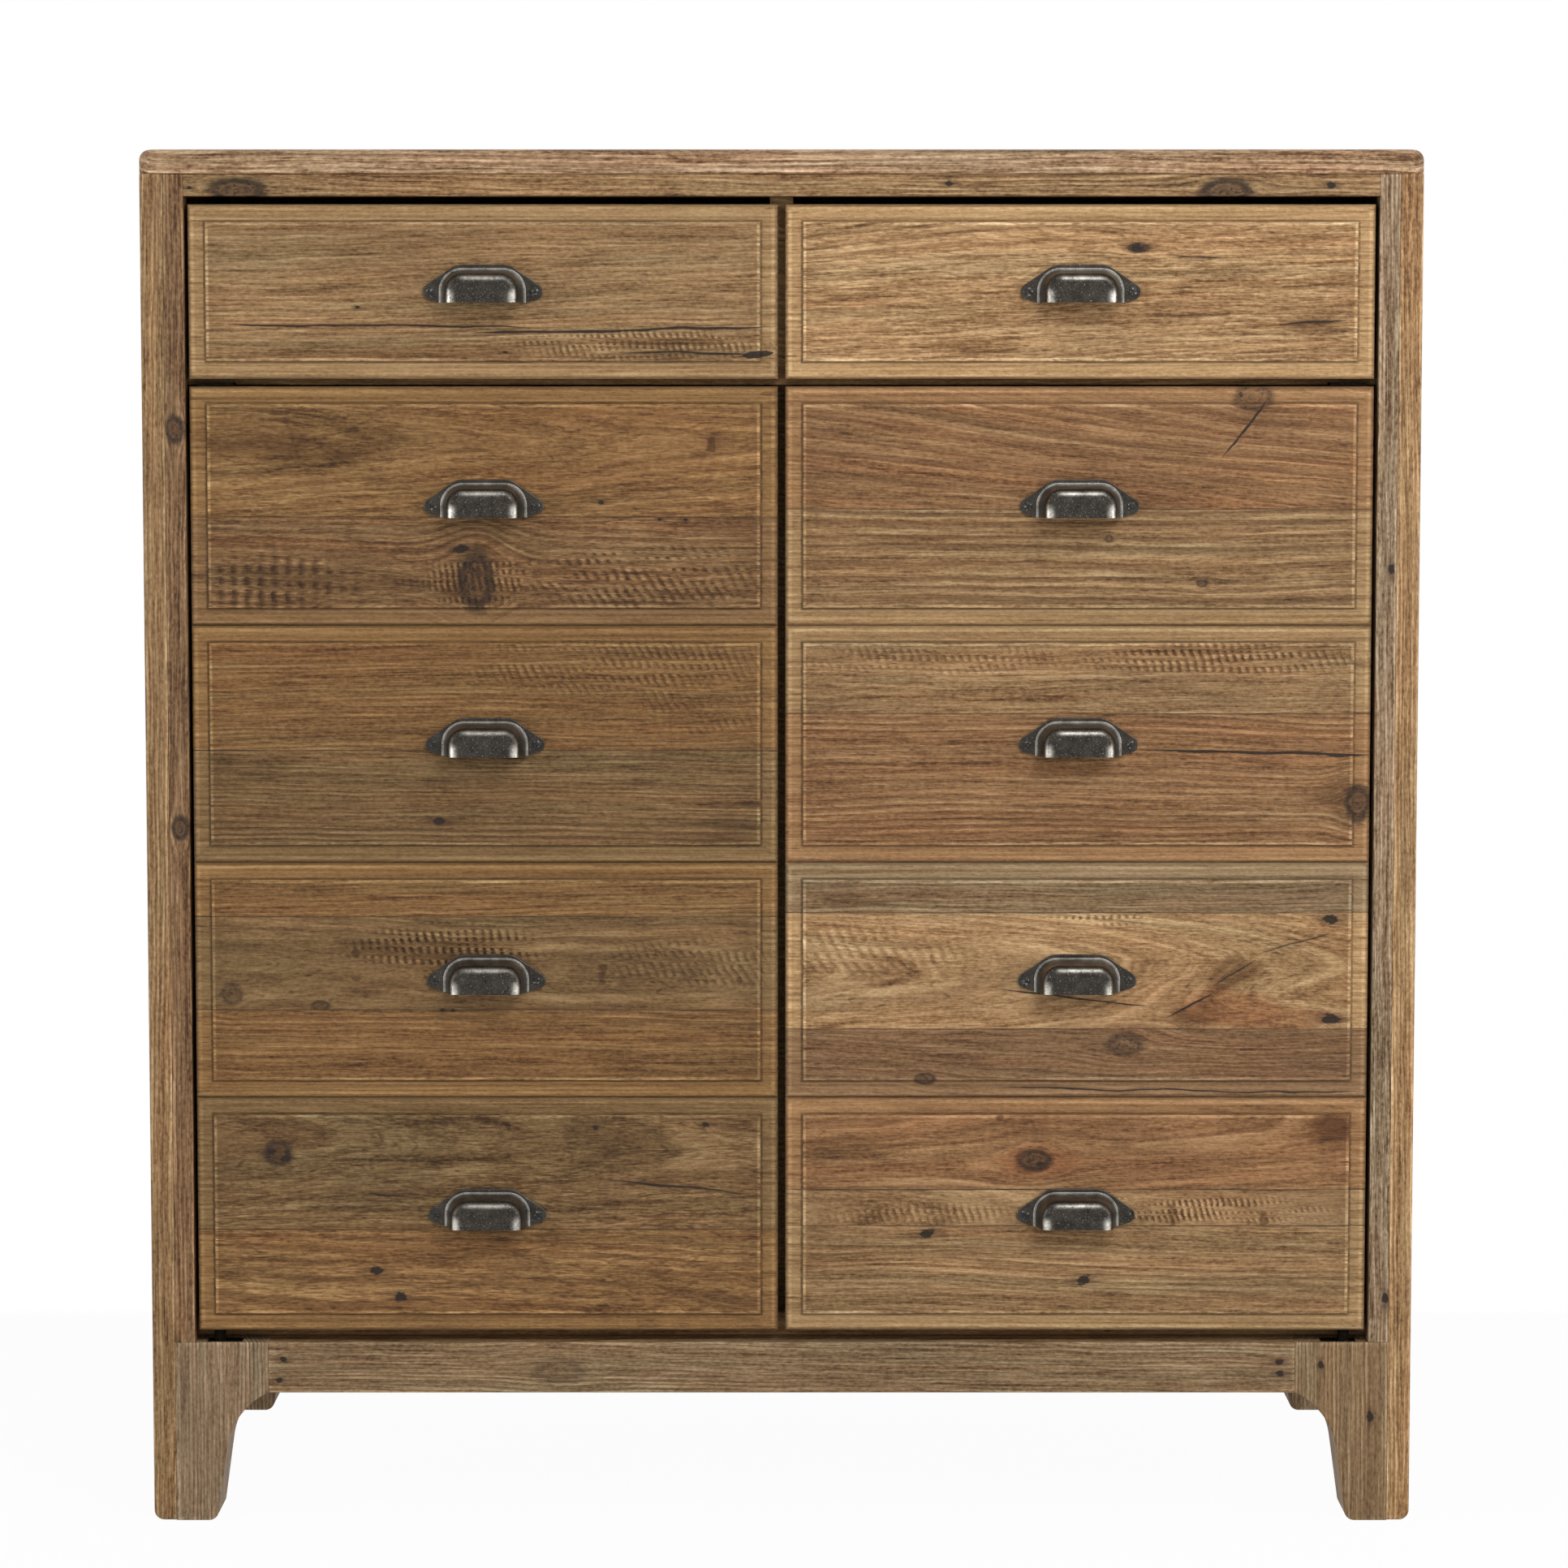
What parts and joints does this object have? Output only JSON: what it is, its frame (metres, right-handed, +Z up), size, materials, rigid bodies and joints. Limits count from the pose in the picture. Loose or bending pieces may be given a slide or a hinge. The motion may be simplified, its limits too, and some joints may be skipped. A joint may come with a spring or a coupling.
{
  "type": "storage cabinet",
  "caption": "Reclaimed-pine cabinet on bracket feet: drawers over hinged doors faced with false drawer fronts, with cast cup pulls.",
  "frame": {"origin": "middle of the bounding box on the floor, the pulls included", "axes": "+Z up, the front with the pulls faces -Y, +X to the right as seen from the front"},
  "size_m": [1, 0.472, 1.082],
  "materials": {
    "front_pine": "old sawn boards, waxed matt",
    "frame_pine": "old boards, waxed matt, worn edges",
    "inside_pine": "plain planed boards, bare",
    "pull_iron": "dark cast, worn bright on the edges",
    "screw_steel": "blackened",
    "pivot_steel": "dull",
    "catch_black": "matt"
  },
  "bodies": {
    "carcass": {"back_panel": "inside_pine", "bottom_panel": "inside_pine", "centre_partition": "inside_pine", "door_catches": "catch_black", "drawer_deck": "inside_pine", "drawer_divider": "inside_pine", "drawer_runners": "inside_pine", "front_apron": "frame_pine", "front_bearer": "inside_pine", "front_left_foot": "frame_pine", "front_right_foot": "frame_pine", "left_front_stile": "frame_pine", "left_shelf": "inside_pine", "left_side_panel": "frame_pine", "pivot_brackets": "pivot_steel", "rear_apron": "inside_pine", "rear_left_foot": "frame_pine", "rear_right_foot": "frame_pine", "right_front_stile": "frame_pine", "right_shelf": "inside_pine", "right_side_panel": "frame_pine", "shelf_pins": "pivot_steel", "top_front_rail": "frame_pine", "top_panel": "frame_pine"},
    "left_drawer": {"left_drawer_back": "inside_pine", "left_drawer_bottom": "inside_pine", "left_drawer_front": "front_pine", "left_drawer_inner_side": "inside_pine", "left_drawer_outer_side": "inside_pine", "left_drawer_pull": "pull_iron", "left_drawer_pull_screws": "screw_steel"},
    "right_drawer": {"right_drawer_back": "inside_pine", "right_drawer_bottom": "inside_pine", "right_drawer_front": "front_pine", "right_drawer_inner_side": "inside_pine", "right_drawer_outer_side": "inside_pine", "right_drawer_pull": "pull_iron", "right_drawer_pull_screws": "screw_steel"},
    "left_door": {"left_door_front_1": "front_pine", "left_door_front_2": "front_pine", "left_door_front_3": "front_pine", "left_door_front_4": "front_pine", "left_door_panel": "inside_pine", "left_door_pivot_leaves": "pivot_steel", "left_door_pull_1": "pull_iron", "left_door_pull_2": "pull_iron", "left_door_pull_3": "pull_iron", "left_door_pull_4": "pull_iron", "left_door_pull_screws": "screw_steel"},
    "right_door": {"right_door_front_1": "front_pine", "right_door_front_2": "front_pine", "right_door_front_3": "front_pine", "right_door_front_4": "front_pine", "right_door_panel": "inside_pine", "right_door_pivot_leaves": "pivot_steel", "right_door_pull_1": "pull_iron", "right_door_pull_2": "pull_iron", "right_door_pull_3": "pull_iron", "right_door_pull_4": "pull_iron", "right_door_pull_screws": "screw_steel"}
  },
  "joints": [
    {"name": "left_drawer_slide", "type": "slide", "parent": "carcass", "child": "left_drawer", "axis": [0, -1, 0], "range_m": [0, 0.3]},
    {"name": "right_drawer_slide", "type": "slide", "parent": "carcass", "child": "right_drawer", "axis": [0, -1, 0], "range_m": [0, 0.3]},
    {"name": "left_door_hinge", "type": "hinge", "parent": "carcass", "child": "left_door", "pos_m": [-0.446, -0.205, 0.5], "axis": [0, 0, -1], "range_deg": [0, 105]},
    {"name": "right_door_hinge", "type": "hinge", "parent": "carcass", "child": "right_door", "pos_m": [0.446, -0.205, 0.5], "axis": [0, 0, 1], "range_deg": [0, 105]}
  ]
}
